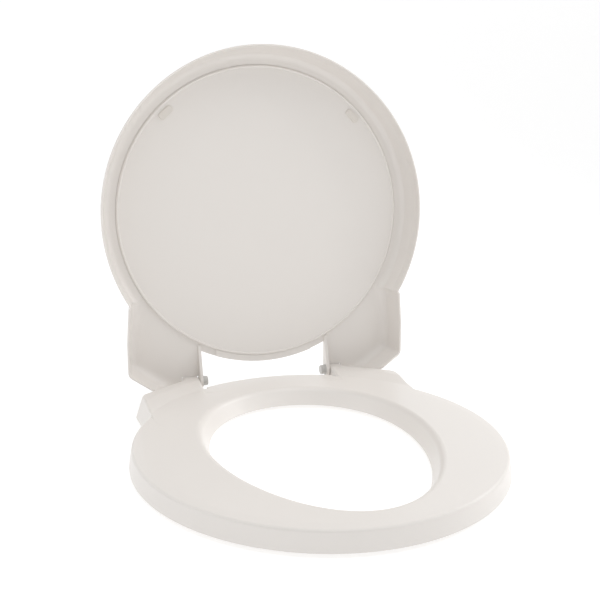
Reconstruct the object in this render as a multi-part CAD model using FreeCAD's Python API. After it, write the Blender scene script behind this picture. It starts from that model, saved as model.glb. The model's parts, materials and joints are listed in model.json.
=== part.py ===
import FreeCAD, Part
import math
import os
from FreeCAD import Base

# A toilet seat with a deep lid. Millimetres, +Z up, the sitter faces -Y, X is symmetric.
# Everything is worked out about the middle of the seat ring with z = 0 on the ring's underside,
# and moved to the final frame at the very end.

# ---- seat ring ----
SEAT_R = 185.0            # outer radius at the underside
SEAT_EDGE_R = 182.4       # outer radius just below the rounded top edge
SEAT_EDGE_Z = 16.0
SEAT_TOP = 18.7
WALL = 3.0
HOLE_A = 104.6            # half width of the egg-shaped opening at the underside
HOLE_B = 138.9            # half length
HOLE_Y = -7.2             # its middle
HOLE_EGG = 0.13           # how much wider the rear half is
HOLE_FLARE = 8.4          # how far the opening's wall leans out by the top
HOLE_SHOULDER = 7.0       # round between the top and the opening's wall

# ---- seat ears ----
EAR_OUT_Y = 107.0         # where the outer side leaves the ring
EAR_OUT_X = 150.9
EAR_CORNER = (155.4, 155.2)
EAR_REAR = (101.0, 192.2) # where the slanted rear side meets the tab behind the hinge
EAR_REAR_Y = 207.0
EAR_DRAFT = 8.8           # how much further out the outer side is at the underside
EAR_REAR_DRAFT = 1.0
EAR_TOP = 22.0
EAR_RISE = (184.0, 205.0) # from the ring's height up to the ear's, by distance from the middle
REAR_OUT = 7.6            # how much further out the ring stands between the ears
ARM_SLOT_Y = 164.6        # a slot in its top takes each arm of the shut lid
ARM_SLOT_Z = 15.0

# ---- hinge ----
HINGE_Y = 196.3
HINGE_Z = 17.4
PEG_R = 5.7               # the free end that clips into the toilet
PEG_IN = 72.0
PEG_SHOULDER = 77.4
SHANK_R = 2.75
SHANK_END = 92.2
RUN_GAP = 0.05            # radial running clearance
SIDE_GAP = 0.1            # end float between neighbours along the axis
WASHER_T = 0.9
WASHER_R = 6.6
ARM_IN = PEG_SHOULDER + WASHER_T + SIDE_GAP
ARM_T = 3.4
ARM_OUT = ARM_IN + ARM_T
ARM_EYE_R = 8.3
LID_BUSH_R = 4.0
FLANGE_R = 5.4
FLANGE_T = 0.9
EAR_IN = ARM_OUT + FLANGE_T + SIDE_GAP     # inner side of each ear, next to its arm
BLOCK_HALF = 5.5          # half length of the solid block round the bore
SEAT_BUSH_R = 3.5
BUSH_PRESS = 0.02
CLIP_SLOT = (89.5, 93.0)
BLOCK_END = 94.4
CLIP_X = 90.4
CLIP_T = 0.8
CLIP_R = 3.6
SLOT_R = CLIP_R + 0.15
GROOVE_R = 2.1

# ---- seat base, screws and bumpers ----
BASE_Z = 0.6
BASE_T = 2.4
BASE_GAP = 0.3
SCREW_R = 1.45
SCREW_HEAD_R = 3.2
SCREW_HEAD_H = 1.7
SCREW_BOSS_R = 4.2
SCREW_LEN = 9.0
BUMPER_L = 28.0
BUMPER_W = 12.0
BUMPER_DROP = 4.2
BUMPER_RING = 155.0
BUMPER_ANGLE = 50.0

# ---- lid, in its own frame: x, v up from the hinge line, d towards the sitter ----
LEAN = 2.0                # how far the open lid leans back, degrees
LID_C = HINGE_Y           # middle of the lid's circle above the hinge
RIM_R = 189.0
RIM_D = 31.9
RIM_T = 1.8
BACK_D = -7.6
EAR_FLOOR_D = -5.0
EAR_ROUND = 11.0          # depth of the round between the ear's floor and its wall
EAR_CORNER_R = 7.0
DOME_D = -9.6
LEDGE_D = -3.4
LEDGE_R = 176.4
PANEL_D = -2.9
LINER_R = 171.0
LINER_T = 2.2
BEAD_R = 169.0
BEAD_H = 1.2
BEAD_W = 2.6
GAP_EDGE_R = 178.7        # edge of the lid between the two arms
PAD_TOP_D = HINGE_Z - SEAT_TOP - 0.05
PAD_R = 160.5
PAD_ANGLE = 46.0
STOP_GAP = 0.04
APRON_IN = EAR_REAR[0] + 0.8   # the back wall's lower piece beside the seat's tab
APRON_V = -6.8
SWING_GAP = 1.5


def vec(x, y, z):
    return Base.Vector(x, y, z)


X_AXIS = vec(1, 0, 0)
Z_AXIS = vec(0, 0, 1)
ORIGIN = vec(0, 0, 0)


def mirrored(shape):
    return shape.mirror(ORIGIN, X_AXIS)


def polygon(points, z):
    loop = [vec(x, y, z) for x, y in points]
    return Part.makePolygon(loop + loop[:1])


def tapered(levels):
    """Solid through outlines of the same corner count, one per (z, points)."""
    return Part.makeLoft([polygon(points, z) for z, points in levels], True, True)


def prism(points, z0, z1):
    return Part.Face(polygon(points, z0)).extrude(vec(0, 0, z1 - z0))


def turned(points, centre_y=0.0):
    """Solid of revolution about the vertical line at (0, centre_y) from (r, z) points."""
    loop = [vec(r, centre_y, z) for r, z in points]
    face = Part.Face(Part.makePolygon(loop + loop[:1]))
    return face.revolve(vec(0, centre_y, 0), Z_AXIS, 360)


def rod(x0, x1, r, r_end=None):
    """Cylinder or cone along the hinge line."""
    base = vec(x0, HINGE_Y, HINGE_Z)
    if r_end is None:
        return Part.makeCylinder(r, x1 - x0, base, X_AXIS)
    return Part.makeCone(r, r_end, x1 - x0, base, X_AXIS)


def tube(x0, x1, r_in, r_out):
    return rod(x0, x1, r_out).cut(rod(x0 - 1, x1 + 1, r_in))


def egg_wire(offset, z):
    points = []
    for i in range(40):
        a = 2 * math.pi * i / 40
        x = (HOLE_A + offset) * math.cos(a) * (1 + HOLE_EGG * math.sin(a))
        y = HOLE_Y + (HOLE_B + offset) * math.sin(a)
        points.append(vec(x, y, z))
    curve = Part.BSplineCurve()
    curve.interpolate(Points=points, PeriodicFlag=True)
    return Part.Wire([curve.toShape()])


def egg_solid(offset, z0, z1):
    """The opening between two heights, leaning with the opening's own wall."""
    slope = HOLE_FLARE / SEAT_TOP
    wires = [egg_wire(offset + slope * z0, z0), egg_wire(offset + slope * z1, z1)]
    return Part.makeLoft(wires, True, True)


def meet(p, a, q, b):
    """Crossing of the line through p along a with the line through q along b."""
    det = a[0] * b[1] - a[1] * b[0]
    t = ((q[0] - p[0]) * b[1] - (q[1] - p[1]) * b[0]) / det
    return (p[0] + a[0] * t, p[1] + a[1] * t)


def ear_outline(side, rear, inner):
    """Ear outline with each side moved out by its own amount; directions never change."""
    def moved(p, q, amount):
        dx, dy = q[0] - p[0], q[1] - p[1]
        n = math.hypot(dx, dy)
        return (p[0] + dy / n * amount, p[1] - dx / n * amount), (dx, dy)
    foot = (EAR_OUT_X - 2.0, EAR_OUT_Y - 40.0)
    s, s_dir = moved((EAR_OUT_X, EAR_OUT_Y), EAR_CORNER, side)
    r, r_dir = moved(EAR_CORNER, EAR_REAR, rear)
    tab_x, back_y, in_x = EAR_REAR[0] + rear, EAR_REAR_Y + rear, EAR_IN - inner
    return [meet(s, s_dir, foot, (1, 0)), meet(s, s_dir, r, r_dir), meet(r, r_dir, (tab_x, 0), (0, 1)),
            (tab_x, back_y), (in_x, back_y), (in_x, 120.0), (EAR_OUT_X - 40.0, 90.0)]


def upright_edges(shape, low_x, low_y):
    """Steep edges outside the ring."""
    found = []
    for e in shape.Edges:
        a, b = e.firstVertex().Point, e.lastVertex().Point
        steep = abs(a.z - b.z) > 10
        if steep and min(a.y, b.y) > low_y and min(a.x, b.x) > low_x:
            found.append(e)
    return found


def seat_ear():
    """Drafted block with round corners whose top climbs away from the ring."""
    solid = tapered([(0.0, ear_outline(EAR_DRAFT, EAR_REAR_DRAFT, 0.0)),
                     (EAR_TOP, ear_outline(0.0, 0.0, 0.0))])
    for r, low_x, high_x in ((13.0, EAR_REAR[0] + 30, 200.0), (3.5, EAR_IN - 5, EAR_REAR[0] + 10)):
        corners = [e for e in upright_edges(solid, low_x, EAR_OUT_Y + 20) if e.BoundBox.XMax < high_x]
        solid = solid.makeFillet(r, corners)
    climb = turned([(0, SEAT_TOP), (EAR_RISE[0], SEAT_TOP), (EAR_RISE[1], EAR_TOP),
                    (EAR_RISE[1], EAR_TOP + 9), (0, EAR_TOP + 9)])
    solid = solid.cut(climb)
    rim = []
    for e in solid.Edges:
        box = e.BoundBox
        across = e.Curve.TypeId == "Part::GeomCircle" and e.Curve.Radius > 100
        beyond = box.YMax > EAR_OUT_Y + 20 and box.XMin > EAR_IN - 1 and box.YMin > EAR_OUT_Y - 45
        if beyond and box.ZMin > SEAT_TOP - 0.01 and not across:
            rim.append(e)
    return solid.makeFillet(2.4, rim)


def screw_spots():
    spots = []
    for angle, r in ((0, 146), (-62, 165), (62, 160)):
        a = math.radians(angle)
        spots.append((r * math.cos(a), r * math.sin(a)))
        spots.append((-r * math.cos(a), r * math.sin(a)))
    spots += [(128.0, 150.0), (-128.0, 150.0)]
    return spots


def ear_pocket(z0, z1, gap):
    """Space inside an ear, WALL from its skin, and gap smaller again."""
    share0, share1 = 1 - z0 / EAR_TOP, 1 - z1 / EAR_TOP
    side0, side1 = EAR_DRAFT * share0 - WALL - gap, EAR_DRAFT * share1 - WALL - gap
    rear0, rear1 = EAR_REAR_DRAFT * share0 - WALL - gap, EAR_REAR_DRAFT * share1 - WALL - gap
    return tapered([(z0, ear_outline(side0, rear0, -WALL - gap)),
                    (z1, ear_outline(side1, rear1, -WALL - gap))])


def seat_hollow(z0, z1, gap):
    """Space inside the seat, WALL from its skin, and gap smaller again."""
    lean = (SEAT_R - SEAT_EDGE_R) / SEAT_EDGE_Z
    r0, r1 = SEAT_R - lean * z0 - WALL - gap, SEAT_R - lean * z1 - WALL - gap
    ring = turned([(0, z0), (r0, z0), (r1, z1), (0, z1)])
    rear = rear_arc([(0, z0), (r0 + REAR_OUT, z0), (r1 + REAR_OUT, z1), (0, z1)], ARM_IN - 1.0 - WALL - gap)
    ring = ring.fuse([rear, ear_pocket(z0, z1, gap), mirrored(ear_pocket(z0, z1, gap))])
    return ring.cut(egg_solid(WALL + gap, z0 - 1, z1 + 1)).removeSplitter()


def rear_arc(profile, half):
    """The part of the ring between the ears, from an (r, z) profile."""
    return turned(profile).common(Part.makeBox(2 * half, 60, 80, vec(-half, 150, -20)))


def ring_profile(extra):
    top = ((SEAT_EDGE_R, SEAT_EDGE_Z), (181.6, 17.2), (180.0, 17.9), (172.0, 18.5), (158.0, SEAT_TOP))
    return [(0, 0), (SEAT_R + extra, 0)] + [(r + extra, z) for r, z in top] + [(0, SEAT_TOP)]


def seat_shell():
    ear = seat_ear()
    body = turned(ring_profile(0.0)).fuse([rear_arc(ring_profile(REAR_OUT), EAR_IN + 1), ear, mirrored(ear)])
    slot = Part.makeBox(ARM_T + 1.6, 30.0, 10.0, vec(ARM_IN - 0.8, ARM_SLOT_Y, ARM_SLOT_Z))
    body = body.cut([egg_solid(0.0, -1.0, SEAT_TOP + 1.0), slot, mirrored(slot)]).removeSplitter()
    rim = []
    for e in body.Edges:
        box = e.BoundBox
        inside = box.XMax < HOLE_A + 14 and box.XMin > -HOLE_A - 14 and box.YMax < 150
        if inside and box.ZMin > SEAT_TOP - 0.01 and box.YMin > -170:
            rim.append(e)
    body = body.makeFillet(HOLE_SHOULDER, rim)
    body = body.cut(seat_hollow(-1.0, SEAT_TOP - WALL, 0.0))
    posts = [Part.makeCylinder(SCREW_BOSS_R, SEAT_TOP - WALL - BASE_Z - BASE_T + 0.5,
                               vec(x, y, BASE_Z + BASE_T)) for x, y in screw_spots()]
    body = body.fuse(posts)
    for x, y in screw_spots():
        body = body.cut(Part.makeCylinder(SCREW_R + RUN_GAP, SCREW_LEN + 0.5, vec(x, y, BASE_Z)))
    for side in (1, -1):
        block, hole = hinge_block(), hinge_holes()
        if side < 0:
            block, hole = mirrored(block), mirrored(hole)
        body = body.fuse(block).cut(hole)
    return body.removeSplitter()


def hinge_block():
    """Solid inside the ear that carries the bore."""
    return Part.makeBox(BLOCK_END - EAR_IN - 0.5, 2 * BLOCK_HALF, HINGE_Z - 7.0,
                        vec(EAR_IN + 0.5, HINGE_Y - BLOCK_HALF, 7.0))


def hinge_holes():
    """Bore for the bush, and the slot through which the clip goes on from below."""
    bore = rod(EAR_IN - 1, CLIP_SLOT[0] + 1, SEAT_BUSH_R)
    slot = rod(CLIP_SLOT[0], CLIP_SLOT[1], SLOT_R)
    down = Part.makeBox(CLIP_SLOT[1] - CLIP_SLOT[0], 2 * SLOT_R, HINGE_Z - BASE_Z - BASE_T,
                        vec(CLIP_SLOT[0], HINGE_Y - SLOT_R, BASE_Z + BASE_T))
    return bore.fuse([slot, down])


def seat_base_ring():
    plate = seat_hollow(BASE_Z, BASE_Z + BASE_T, BASE_GAP)
    for x, y in screw_spots():
        plate = plate.cut(Part.makeCylinder(SCREW_R + 0.25, 9, vec(x, y, -2)))
    for a in (BUMPER_ANGLE, 180 - BUMPER_ANGLE, -BUMPER_ANGLE, BUMPER_ANGLE - 180):
        for off in (-7.0, 7.0):
            x, y = bumper_point(a, off)
            plate = plate.cut(Part.makeCylinder(2.1, 9, vec(x, y, -2)))
    return plate


def bumper_point(angle, along):
    a = math.radians(angle)
    x, y = BUMPER_RING * math.cos(a), BUMPER_RING * math.sin(a)
    return x - along * math.sin(a), y + along * math.cos(a)


def seat_bumper(angle):
    """Oval rubber pad with two barbed stems, long way round the ring."""
    half = (BUMPER_L - BUMPER_W) / 2
    r = BUMPER_W / 2
    height = BUMPER_DROP + BASE_Z
    pad = Part.makeCylinder(r, height, vec(half, 0, -BUMPER_DROP))
    pad = pad.fuse([Part.makeCylinder(r, height, vec(-half, 0, -BUMPER_DROP)),
                    Part.makeBox(2 * half, 2 * r, height, vec(-half, -r, -BUMPER_DROP))])
    pad = pad.removeSplitter()
    low = [e for e in pad.Edges if e.BoundBox.ZMax < -BUMPER_DROP + 0.01]
    pad = pad.makeFillet(1.5, low)
    for x in (-7.0, 7.0):
        pad = pad.fuse(Part.makeCylinder(2.0, BASE_T + 0.1, vec(x, 0, BASE_Z)))
        pad = pad.fuse(Part.makeCone(3.0, 1.6, 2.6, vec(x, 0, BASE_Z + BASE_T + 0.05)))
    pad.rotate(ORIGIN, Z_AXIS, angle + 90)
    a = math.radians(angle)
    pad.translate(vec(BUMPER_RING * math.cos(a), BUMPER_RING * math.sin(a), 0))
    return pad


def seat_base_screws():
    parts = []
    for x, y in screw_spots():
        head = Part.makeCylinder(SCREW_HEAD_R, SCREW_HEAD_H, vec(x, y, BASE_Z - SCREW_HEAD_H))
        head = head.makeFillet(0.8, [e for e in head.Edges if e.BoundBox.ZMax < BASE_Z - SCREW_HEAD_H + 0.01])
        for turn in (0, 90):
            slot = Part.makeBox(3.4, 0.8, 1.0, vec(-1.7, -0.4, 0))
            slot.rotate(ORIGIN, Z_AXIS, turn + 20)
            slot.translate(vec(x, y, BASE_Z - SCREW_HEAD_H - 0.01))
            head = head.cut(slot)
        shank = Part.makeCylinder(SCREW_R, SCREW_LEN, vec(x, y, BASE_Z - 0.1))
        parts.append(head.fuse(shank))
    return Part.makeCompound(parts)


def hinge_pin():
    """Peg with a chamfered free end, then the thinner shank with the clip's groove."""
    tip = 0.6
    pin = rod(PEG_IN, PEG_IN + tip, PEG_R - tip, PEG_R).fuse(rod(PEG_IN + tip, PEG_SHOULDER, PEG_R))
    pin = pin.fuse(rod(PEG_SHOULDER - 0.5, SHANK_END, SHANK_R))
    groove = tube(CLIP_X - 0.02, CLIP_X + CLIP_T + 0.02, GROOVE_R, SHANK_R + 1)
    return pin.cut(groove).removeSplitter()


def pin_clip():
    """Open retaining ring that is pushed into the groove from below."""
    ring = tube(CLIP_X, CLIP_X + CLIP_T, GROOVE_R - BUSH_PRESS, CLIP_R)
    mouth = Part.makeBox(CLIP_T + 2, 2 * GROOVE_R * 0.8, CLIP_R + 1,
                         vec(CLIP_X - 1, HINGE_Y - GROOVE_R * 0.8, HINGE_Z - CLIP_R - 1))
    return ring.cut(mouth)


def hinge_washer():
    return tube(PEG_SHOULDER, PEG_SHOULDER + WASHER_T, SHANK_R + BUSH_PRESS, WASHER_R)


def lid_bush():
    sleeve = tube(ARM_IN, ARM_OUT + 0.1, SHANK_R + RUN_GAP, LID_BUSH_R + BUSH_PRESS)
    return sleeve.fuse(tube(ARM_OUT, ARM_OUT + FLANGE_T, SHANK_R + RUN_GAP, FLANGE_R)).removeSplitter()


def seat_bush():
    return tube(EAR_IN, CLIP_SLOT[0], SHANK_R + RUN_GAP, SEAT_BUSH_R + BUSH_PRESS)


# ---- the lid, built lying on its back: X across, Y = v, Z = d ----
def lid_inner_profile():
    """(r, d) from the liner's step out over the ledge and up the skirt's inner wall."""
    points = [(0.0, BACK_D - 0.6), (80.0, BACK_D), (150.0, PANEL_D - LINER_T - 0.8),
              (158.0, PANEL_D - LINER_T), (LINER_R + 0.25, PANEL_D - LINER_T),
              (LINER_R + 0.25, LEDGE_D), (LEDGE_R, LEDGE_D)]
    for i in range(1, 8):
        f = math.radians(90.0 * i / 7)
        points.append((LEDGE_R + 7.5 * math.sin(f), LEDGE_D + 7.4 * (1 - math.cos(f))))
    points += [(RIM_R - RIM_T - 0.35, RIM_D - 14.0), (RIM_R - RIM_T, RIM_D - 0.6), (RIM_R - RIM_T + 0.5, RIM_D)]
    return points


def lid_outer_profile():
    points = [(0.0, DOME_D), (60.0, DOME_D + 0.25), (120.0, DOME_D + 1.1), (160.0, BACK_D - 0.45), (174.0, BACK_D)]
    for i in range(1, 8):
        f = math.radians(90.0 * i / 7)
        points.append((174.0 + 12.4 * math.sin(f), BACK_D + 11.0 * (1 - math.cos(f))))
    points += [(RIM_R - 0.4, RIM_D - 14.0), (RIM_R, RIM_D - 0.7), (RIM_R - 0.5, RIM_D)]
    return points


def lid_ear_outline(top, side_top, side_mid, corner, foot):
    """Corners of one ear, the outer low one (index 4) rounded when it is lofted."""
    return [(100.0, 125.0), top, side_top, side_mid, corner, foot, (foot[0] - 3.0, -9.0), (70.0, -9.0), (70.0, 60.0)]


def ear_wire(points, d, r):
    """Closed wire through the corners with an arc of radius r at the outer low one."""
    before, corner, after = (vec(x, y, d) for x, y in points[3:6])
    to_before = (before - corner).normalize()
    to_after = (after - corner).normalize()
    half = to_before.getAngle(to_after) / 2
    start = corner + to_before * (r / math.tan(half))
    end = corner + to_after * (r / math.tan(half))
    inward = (to_before + to_after).normalize()
    middle = corner + inward * (r / math.sin(half) - r)
    loop = [vec(x, y, d) for x, y in points]
    loop = [end] + loop[5:] + loop[:4] + [start]
    edges = [Part.makeLine(a, b) for a, b in zip(loop, loop[1:])]
    return Part.Wire(edges + [Part.Arc(start, middle, end).toShape()])


def lid_ear_levels(e):
    """(d, outline) from the floor to the rim, widening along a quarter round; e is the wall."""
    floor = lid_ear_outline((132.0, 124.0), (141.4 + e, 98.0), (149.6 + e, 60.0), (152.8 + e, 28.1 - 0.5 * e),
                            (107.0, -2.9 - 1.2 * e))
    rim = lid_ear_outline((150.0, 121.0), (162.6 + e, 98.0), (165.6 + e, 60.0), (165.8 + e, 22.4 - 0.5 * e),
                          (137.0, 1.5 - 1.2 * e))
    shares = [(0.0, 0.0)]
    for depth in (0.3, 0.9, 1.8, 3.2, 5.0, 7.5, EAR_ROUND):
        shares.append((depth, 0.84 * math.sqrt(1 - (1 - depth / EAR_ROUND) ** 2)))
    shares += [(22.4, 0.92), (RIM_D - EAR_FLOOR_D, 1.0)]
    levels = []
    for depth, share in shares:
        outline = [(a[0] + (b[0] - a[0]) * share, a[1] + (b[1] - a[1]) * share) for a, b in zip(floor, rim)]
        sunk = e if share < 1 else 0.0
        levels.append((EAR_FLOOR_D + depth - sunk, outline))
    return levels


def ear_loft(levels, r):
    return Part.makeLoft([ear_wire(points, d, r) for d, points in levels], True, True)


def lid_ear_outer():
    back = lid_ear_outline((131.0, 124.0), (141.0, 98.0), (149.2, 60.0), (152.2, 29.0), (106.0, -1.9))
    return ear_loft([(BACK_D, back)] + lid_ear_levels(RIM_T), EAR_CORNER_R + RIM_T)


def lid_ear_cavity():
    levels = lid_ear_levels(0.0)
    levels.append((RIM_D + 1.0, levels[-1][1]))
    opened = [(d, points[:6] + [(points[5][0] - 9.0, -9.0), (60.0, -9.0), (60.0, 60.0)]) for d, points in levels]
    return ear_loft(opened, EAR_CORNER_R)


def swing_room():
    """What the lid's slanted wall gives up so that it swings past the seat's slanted ear."""
    steep = (EAR_REAR[1] - EAR_CORNER[1]) / (EAR_CORNER[0] - EAR_REAR[0])
    start = EAR_REAR[0] - (HINGE_Y - EAR_REAR[1]) / steep + SWING_GAP
    end = 150.0
    loop = [vec(start, 0.05, 0), vec(start, 75, 0), vec(end, 75, 0), vec(end, steep * (end - start), 0)]
    beyond = Part.Face(Part.makePolygon(loop + loop[:1])).revolve(ORIGIN, X_AXIS, 360)
    front = Part.makeBox(end - start + 2, 46.0, 50.0, vec(start - 1, -20.0, EAR_FLOOR_D + 0.1))
    return beyond.common(front)


def stop_v():
    """Height above the hinge line at which the lid's back wall lands on the ear's top."""
    t = math.radians(LEAN)
    return (EAR_TOP - HINGE_Z + STOP_GAP - BACK_D * math.sin(t)) / math.cos(t)


def lid_arm():
    """Blade that carries the lid on the hinge line, from its eye up to the lid's edge."""
    front = LEDGE_D + 0.5
    outline = [(-2.0, 8.05), (9.0, 6.2), (38.0, front), (43.0, front), (43.0, BACK_D), (5.0, -7.0), (-2.0, -8.05)]
    loop = [vec(ARM_IN, v, d) for v, d in outline]
    blade = Part.Face(Part.makePolygon(loop + loop[:1])).extrude(vec(ARM_T, 0, 0))
    eye = Part.makeCylinder(ARM_EYE_R, ARM_T, vec(ARM_IN, 0, 0), X_AXIS)
    return blade.fuse(eye)


def lid_apron():
    """The back wall reaches down beside the seat's tab."""
    outline = [(APRON_IN, APRON_V), (127.0, APRON_V), (133.0, 0.0), (133.0, 16.0), (APRON_IN, 16.0)]
    return prism(outline, BACK_D + 0.3, EAR_FLOOR_D)


def lid_shell():
    outer = turned(lid_outer_profile() + [(0.0, RIM_D)], LID_C)
    ear = lid_ear_outer()
    body = outer.fuse([ear, mirrored(ear)])
    inner = turned(lid_inner_profile() + [(RIM_R - RIM_T + 0.5, RIM_D + 5), (0.0, RIM_D + 5)], LID_C)
    cavity = lid_ear_cavity()
    body = body.cut([inner, cavity, mirrored(cavity)])
    gap = Part.makeBox(2 * ARM_IN, 120, 60, vec(-ARM_IN, -20, -15))
    keep = Part.makeCylinder(GAP_EDGE_R, 15 + LEDGE_D + 0.6, vec(0, LID_C, -15))
    body = body.cut(gap.cut(keep))
    v = stop_v()
    under = [(60.0, -20.0), (60.0, v), (APRON_IN, v), (APRON_IN, APRON_V), (175.0, APRON_V), (175.0, -20.0)]
    foot = prism(under, -20.0, 50.0)
    body = body.cut([foot, mirrored(foot), swing_room(), mirrored(swing_room())])
    arm, apron = lid_arm(), lid_apron()
    body = body.fuse([arm, mirrored(arm), apron, mirrored(apron)])
    bore = Part.makeCylinder(LID_BUSH_R, 2 * ARM_OUT + 10, vec(-ARM_OUT - 5, 0, 0), X_AXIS)
    return body.cut(bore).removeSplitter()


def lid_liner():
    """Round inner panel with a raised bead just inside its edge."""
    b0, b1 = BEAD_R - BEAD_W / 2, BEAD_R + BEAD_W / 2
    back = PANEL_D - LINER_T
    return turned([(0, back), (LINER_R, back), (LINER_R, PANEL_D - 0.2), (b1 + 0.2, PANEL_D + 0.2),
                   (b1 - 0.5, PANEL_D + BEAD_H - 0.25), (BEAD_R, PANEL_D + BEAD_H),
                   (b0 + 0.5, PANEL_D + BEAD_H - 0.25), (b0, PANEL_D), (0, PANEL_D)], LID_C)


def lid_rest_pad():
    """Small rounded pad that lands on the seat when the lid is shut."""
    pad = Part.makeBox(18, 8, PAD_TOP_D - PANEL_D, vec(-9, -4, PANEL_D))
    pad = pad.makeFillet(3.2, [e for e in pad.Edges if e.BoundBox.ZLength > 0.5])
    top = [e for e in pad.Edges if e.BoundBox.ZMin > PAD_TOP_D - 0.01]
    pad = pad.makeFillet(0.5, top)
    a = math.radians(PAD_ANGLE)
    pad.rotate(ORIGIN, Z_AXIS, PAD_ANGLE - 90)
    pad.translate(vec(PAD_R * math.cos(a), LID_C + PAD_R * math.sin(a), 0))
    return pad


def stood_up(shape):
    """From the lid's own frame to the open lid leaning back on its stop."""
    shape.rotate(ORIGIN, X_AXIS, 90.0 - LEAN)
    shape.translate(vec(0, HINGE_Y, HINGE_Z))
    return shape


def all_parts():
    parts = {"seat_shell": seat_shell(), "seat_base_ring": seat_base_ring(),
             "seat_base_screws": seat_base_screws()}
    right = {"hinge_pin": hinge_pin(), "pin_clip": pin_clip(), "hinge_washer": hinge_washer(),
             "seat_bush": seat_bush(), "lid_bush": lid_bush(), "lid_rest_pad": stood_up(lid_rest_pad()),
             "seat_bumper_front": seat_bumper(-BUMPER_ANGLE), "seat_bumper_rear": seat_bumper(BUMPER_ANGLE)}
    for name, shape in right.items():
        parts[name + "_right"] = shape
        parts[name + "_left"] = mirrored(shape)
    parts["lid_shell"] = stood_up(lid_shell())
    parts["lid_liner"] = stood_up(lid_liner())
    return parts


def main():
    os.makedirs("parts", exist_ok=True)
    parts = all_parts()
    box = Part.makeCompound(list(parts.values())).optimalBoundingBox(False, False)
    shift = vec(0, -(box.YMin + box.YMax) / 2, -box.ZMin)
    for name, shape in parts.items():
        shape.translate(shift)
        shape.exportStep("parts/%s.step" % name)
        print(name, len(shape.Solids), shape.isValid(), round(shape.Volume))
    print("shift", round(shift.y, 3), round(shift.z, 3), "hinge", round(HINGE_Y + shift.y, 3), round(HINGE_Z + shift.z, 3))
    print("size", round(box.XLength, 2), round(box.YLength, 2), round(box.ZLength, 2))


main()
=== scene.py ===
import bpy
import json
import math
from mathutils import Matrix, Vector


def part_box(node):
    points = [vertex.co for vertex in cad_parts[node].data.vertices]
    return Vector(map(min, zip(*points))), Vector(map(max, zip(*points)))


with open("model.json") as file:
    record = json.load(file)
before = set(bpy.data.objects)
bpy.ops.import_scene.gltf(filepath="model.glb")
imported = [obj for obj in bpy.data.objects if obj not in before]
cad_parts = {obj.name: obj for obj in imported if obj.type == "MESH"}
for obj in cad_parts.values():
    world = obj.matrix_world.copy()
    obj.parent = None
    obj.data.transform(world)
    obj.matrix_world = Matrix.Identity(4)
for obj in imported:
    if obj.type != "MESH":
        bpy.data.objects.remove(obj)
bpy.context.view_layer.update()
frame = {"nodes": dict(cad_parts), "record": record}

MM = 0.001

# ---- what the frame says ----
joints = {joint["name"]: joint for joint in frame["record"]["behaviour"]["joints"]}
hinge = Vector(joints["lid_hinge"]["pos_m"])
seat_low, seat_high = (Vector(corner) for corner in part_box("seat_shell"))
RING_R = 185 * MM
ring_centre = Vector((0, seat_low.y + RING_R, seat_low.z))

# ---- camera: where it stands from the middle of the ring, and how it is turned ----
CAMERA_FROM_RING = Vector((-243.4, -655.5, 314.1)) * MM
CAMERA_YAW = 18.64
CAMERA_PITCH = 12.84
CAMERA_ROLL = 0.70
CAMERA_LENS = 45.27
SENSOR = 36.0

# ---- studio: name, place, aim, size in metres, power in watts ----
WORLD_LIGHT = 0.58
FLOOR_GLOW = 0.57
FLOOR_ALBEDO = 0.60
LIGHTS = (
    ("key", (1.5, 0.0, 0.9), (0.0, 0.0, 0.15), 1.0, 12.0),
    ("fill", (-1.5, -0.1, 0.9), (0.0, 0.0, 0.15), 1.0, 2.5),
    ("top", (0.0, -0.5, 1.9), (0.0, 0.0, 0.0), 1.4, 7.5),
)

# ---- materials: noise scales, how far colour and gloss vary, and the height of the grain ----
DRIFT_SCALE = 7.0
DRIFT_DARK = 0.985
DRIFT_LIGHT = 1.01
GLOSS_SCALE = 28.0
GLOSS_DOWN = 0.04
GLOSS_UP = 0.05
GRAIN_SCALE = 1800.0
GRAIN_DETAIL = 2.0
GRAIN_HEIGHT = 0.2 * MM
METAL_SCALE = 400.0
METAL_DOWN = 0.06
METAL_UP = 0.08
PLASTIC_IOR = 1.5
RUBBER_ROUGH = 0.62
RUBBER_GRAIN = 0.12

# ---- floor sweep, in metres ----
FLOOR_FRONT = -4.0
FLOOR_BACK = 3.0
FLOOR_HALF_WIDTH = 6.0
SWEEP_R = 1.6
SWEEP_STEPS = 12
BACKDROP_RISE = 3.0
FLOOR_ROUGH = 0.9


def new_material(name, colour, rough):
    mat = bpy.data.materials.new(name)
    mat.use_nodes = True
    shader = mat.node_tree.nodes["Principled BSDF"]
    shader.inputs["Base Color"].default_value = (*colour, 1.0)
    shader.inputs["Roughness"].default_value = rough
    return mat, mat.node_tree.nodes, mat.node_tree.links, shader


def noise(nodes, links, scale, detail=3.0):
    coords = nodes.new("ShaderNodeTexCoord")
    node = nodes.new("ShaderNodeTexNoise")
    node.inputs["Scale"].default_value = scale
    node.inputs["Detail"].default_value = detail
    links.new(coords.outputs["Object"], node.inputs["Vector"])
    return node


def remap(nodes, links, source, low, high):
    node = nodes.new("ShaderNodeMapRange")
    node.inputs["To Min"].default_value = low
    node.inputs["To Max"].default_value = high
    links.new(source, node.inputs["Value"])
    return node.outputs["Result"]


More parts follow.
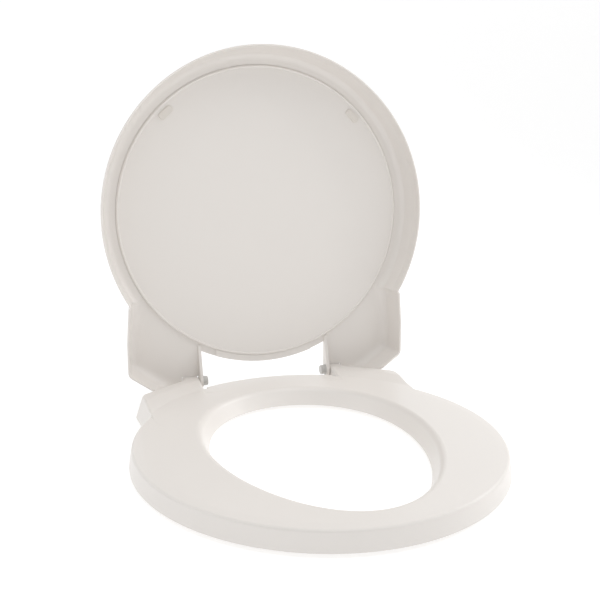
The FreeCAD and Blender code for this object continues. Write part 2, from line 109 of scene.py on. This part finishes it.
def moulded_plastic(name, colour, rough, grain=0.02):
    """Satin moulded plastic: faint colour drift, uneven gloss and a very fine grain."""
    mat, nodes, links, shader = new_material(name, colour, rough)
    drift = noise(nodes, links, DRIFT_SCALE)
    mix = nodes.new("ShaderNodeMix")
    mix.data_type = "RGBA"
    mix.inputs["A"].default_value = (*[c * DRIFT_DARK for c in colour], 1.0)
    mix.inputs["B"].default_value = (*[min(c * DRIFT_LIGHT, 1.0) for c in colour], 1.0)
    links.new(drift.outputs["Fac"], mix.inputs["Factor"])
    links.new(mix.outputs["Result"], shader.inputs["Base Color"])
    gloss = noise(nodes, links, GLOSS_SCALE)
    spread = remap(nodes, links, gloss.outputs["Fac"], rough - GLOSS_DOWN, rough + GLOSS_UP)
    links.new(spread, shader.inputs["Roughness"])
    fine = noise(nodes, links, GRAIN_SCALE, GRAIN_DETAIL)
    bump = nodes.new("ShaderNodeBump")
    bump.inputs["Strength"].default_value = grain
    bump.inputs["Distance"].default_value = GRAIN_HEIGHT
    links.new(fine.outputs["Fac"], bump.inputs["Height"])
    links.new(bump.outputs["Normal"], shader.inputs["Normal"])
    shader.inputs["IOR"].default_value = PLASTIC_IOR
    return mat


def metal(name, colour, rough):
    """Bare metal with an uneven gloss."""
    mat, nodes, links, shader = new_material(name, colour, rough)
    shader.inputs["Metallic"].default_value = 1.0
    gloss = noise(nodes, links, METAL_SCALE)
    spread = remap(nodes, links, gloss.outputs["Fac"], rough - METAL_DOWN, rough + METAL_UP)
    links.new(spread, shader.inputs["Roughness"])
    return mat


def rubber(name, colour):
    return moulded_plastic(name, colour, RUBBER_ROUGH, RUBBER_GRAIN)


WHITE = (0.80, 0.765, 0.73)
MATERIALS = {
    "shell_plastic": moulded_plastic("shell_plastic", WHITE, 0.32),
    "base_plastic": moulded_plastic("base_plastic", (0.74, 0.70, 0.66), 0.5, 0.06),
    "hinge_pin_plastic": moulded_plastic("hinge_pin_plastic", (0.56, 0.55, 0.53), 0.35),
    "washer_plastic": moulded_plastic("washer_plastic", (0.62, 0.61, 0.59), 0.4),
    "bush_plastic": moulded_plastic("bush_plastic", (0.74, 0.72, 0.66), 0.4),
    "clip_steel": metal("clip_steel", (0.62, 0.62, 0.61), 0.3),
    "screw_steel": metal("screw_steel", (0.58, 0.58, 0.57), 0.35),
    "bumper_rubber": rubber("bumper_rubber", (0.66, 0.64, 0.60)),
    "pad_rubber": rubber("pad_rubber", (0.74, 0.70, 0.65)),
}


def dress_frame():
    """Give every CAD node the material that the record names for it."""
    slots = {part["node"]: part["material_slot"] for part in frame["record"]["subparts"]}
    for name, node in frame["nodes"].items():
        node.data.materials.clear()
        node.data.materials.append(MATERIALS[slots[name]])


def add_camera():
    data = bpy.data.cameras.new("camera")
    data.lens = CAMERA_LENS
    data.sensor_width = SENSOR
    camera = bpy.data.objects.new("camera", data)
    bpy.context.collection.objects.link(camera)
    turn = Matrix.Rotation(math.radians(-CAMERA_YAW), 4, "Z")
    tilt = Matrix.Rotation(math.radians(90 - CAMERA_PITCH), 4, "X")
    roll = Matrix.Rotation(math.radians(CAMERA_ROLL), 4, "Z")
    camera.matrix_world = Matrix.Translation(ring_centre + CAMERA_FROM_RING) @ turn @ tilt @ roll
    bpy.context.scene.camera = camera


def add_light(name, place, target, size, power):
    data = bpy.data.lights.new(name, "AREA")
    data.shape = "RECTANGLE"
    data.size = size
    data.size_y = size
    data.energy = power
    light = bpy.data.objects.new(name, data)
    bpy.context.collection.objects.link(light)
    light.location = place
    light.rotation_euler = (Vector(target) - Vector(place)).to_track_quat("-Z", "Y").to_euler()


def floor_material():
    """A pale floor with a faint light of its own, like a lit table."""
    mat, nodes, links, shader = new_material("floor", (FLOOR_ALBEDO,) * 3, FLOOR_ROUGH)
    shader.inputs["Specular IOR Level"].default_value = 0.0
    shader.inputs["Emission Color"].default_value = (1.0, 1.0, 1.0, 1.0)
    shader.inputs["Emission Strength"].default_value = FLOOR_GLOW
    return mat


def studio_floor():
    """Wide pale floor that runs up behind the object in one smooth sweep."""
    profile = [(FLOOR_FRONT, 0.0), (FLOOR_BACK - SWEEP_R, 0.0)]
    for step in range(1, SWEEP_STEPS + 1):
        a = math.radians(90 * step / SWEEP_STEPS)
        profile.append((FLOOR_BACK - SWEEP_R + SWEEP_R * math.sin(a), SWEEP_R * (1 - math.cos(a))))
    profile.append((FLOOR_BACK, SWEEP_R + BACKDROP_RISE))
    points = [(side * FLOOR_HALF_WIDTH, y, z) for y, z in profile for side in (-1, 1)]
    faces = [(2 * k, 2 * k + 1, 2 * k + 3, 2 * k + 2) for k in range(len(profile) - 1)]
    mesh = bpy.data.meshes.new("floor")
    mesh.from_pydata(points, [], faces)
    for face in mesh.polygons:
        face.use_smooth = True
    floor = bpy.data.objects.new("floor", mesh)
    bpy.context.collection.objects.link(floor)
    floor.data.materials.append(floor_material())


def add_studio():
    world = bpy.data.worlds.new("studio")
    bpy.context.scene.world = world
    world.use_nodes = True
    world.node_tree.nodes["Background"].inputs["Color"].default_value = (1.0, 1.0, 1.0, 1.0)
    world.node_tree.nodes["Background"].inputs["Strength"].default_value = WORLD_LIGHT
    for name, place, target, size, power in LIGHTS:
        add_light(name, place, target, size, power)
    studio_floor()
    bpy.context.scene.view_settings.view_transform = "Standard"


dress_frame()
add_camera()
add_studio()
